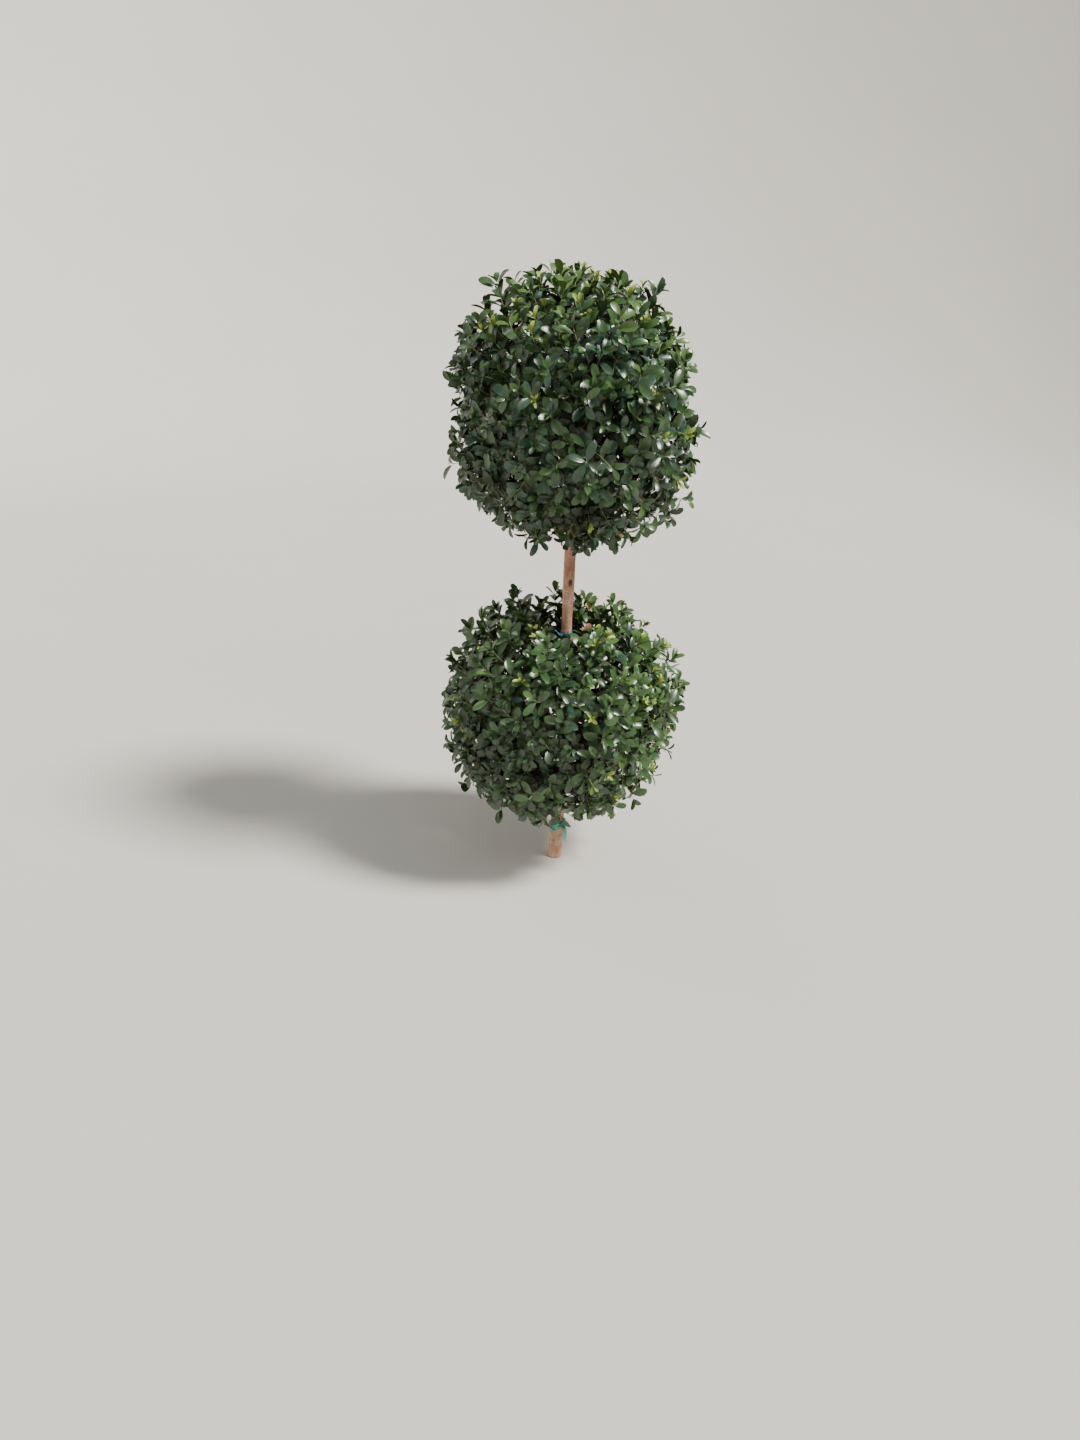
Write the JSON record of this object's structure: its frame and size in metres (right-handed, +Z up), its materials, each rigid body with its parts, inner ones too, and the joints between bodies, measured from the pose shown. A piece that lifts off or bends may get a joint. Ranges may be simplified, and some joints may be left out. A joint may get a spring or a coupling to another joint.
{
  "type": "double ball topiary shrub",
  "caption": "Clipped double ball topiary shrub: leafy balls, one above the other, on a bare and slightly leaning trunk that is rooted in level ground.",
  "frame": {"origin": "middle of the flat cut under the trunk, at ground level", "axes": "+Z up, -Y towards the front view of the plant, +X to the right in that view"},
  "size_m": [0.4844, 0.4443, 1.1239],
  "materials": {
    "bark": "matte tan bark",
    "foliage": "glossy dark green leaves",
    "tie": "satin stretch tape"
  },
  "bodies": {
    "root": {"trunk": "bark", "lower_ball": "foliage", "upper_ball": "foliage", "tie_lower": "tie", "tie_upper": "tie"}
  },
  "joints": []
}
